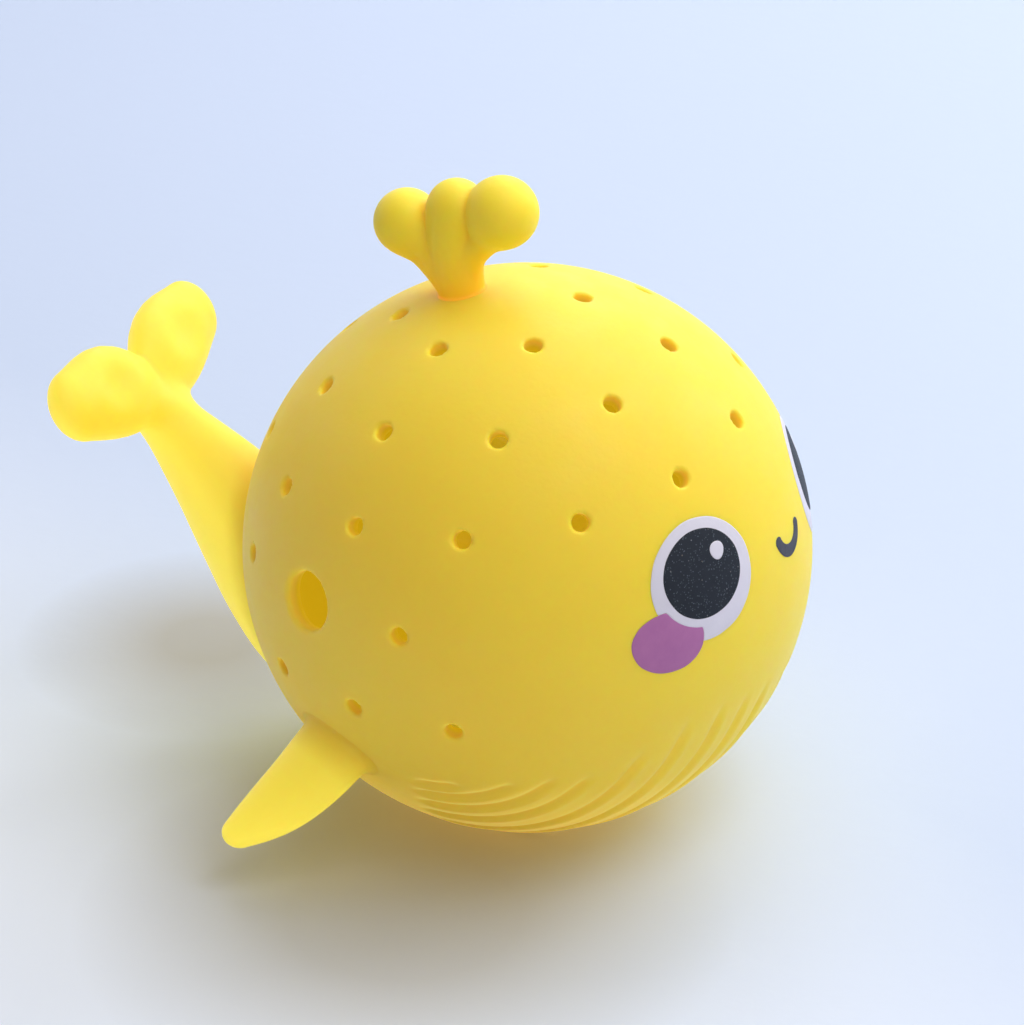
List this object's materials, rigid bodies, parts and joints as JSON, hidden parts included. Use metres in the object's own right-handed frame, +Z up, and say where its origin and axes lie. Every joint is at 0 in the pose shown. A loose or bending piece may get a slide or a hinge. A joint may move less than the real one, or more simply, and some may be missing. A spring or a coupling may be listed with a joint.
{
  "type": "bath_toy",
  "caption": "Round yellow soft-vinyl whale bath toy, pierced with spray holes, with a bubble spout, fluked tail, side fins, printed face and a plugged-in squeaker",
  "frame": {"origin": "centre of the flat under the belly, on the surface the toy stands on", "axes": "+X is the nose, +Y is the whale's left, +Z is up"},
  "size_m": [0.0929, 0.0786, 0.0819],
  "materials": {
    "yellow_vinyl": "matt soft vinyl, slightly see-through where thin",
    "white_ink": "matt pad-printed ink",
    "dark_ink": "matt pad-printed ink with fine glitter in the pupils",
    "purple_ink": "matt pad-printed ink",
    "clear_vinyl": "soft milky vinyl",
    "stiff_plastic": "moulded, faint ejector marks",
    "bellows_film": "blow-moulded, milky",
    "reed_metal": "rolled strip"
  },
  "bodies": {
    "toy": {"body_shell": "yellow_vinyl", "spout": "yellow_vinyl", "tail": "yellow_vinyl", "fin_left": "yellow_vinyl", "fin_right": "yellow_vinyl", "eye_white_left": "white_ink", "eye_white_right": "white_ink", "pupil_left": "dark_ink", "pupil_right": "dark_ink", "eye_glint_left": "white_ink", "eye_glint_right": "white_ink", "cheek_left": "purple_ink", "cheek_right": "purple_ink", "smile": "dark_ink", "belly_plug": "clear_vinyl", "squeaker_base": "stiff_plastic", "bellows": "bellows_film", "whistle_tube": "stiff_plastic", "reed_seat": "stiff_plastic"},
    "press_cap": {"press_cap": "stiff_plastic"},
    "reed": {"reed": "reed_metal"}
  },
  "joints": [
    {"name": "squeaker_press", "type": "slide", "parent": "toy", "child": "press_cap", "axis": [0, 0, -1], "range_m": [0, 0.016], "stiffness_N_per_m": 120, "deforming": ["bellows"]},
    {"name": "reed_flutter", "type": "hinge", "parent": "toy", "child": "reed", "pos_m": [0.00027, 0, 0.00805], "axis": [0, 1, 0], "range_deg": [0, 4], "stiffness_Nm_per_rad": 0.0005}
  ]
}
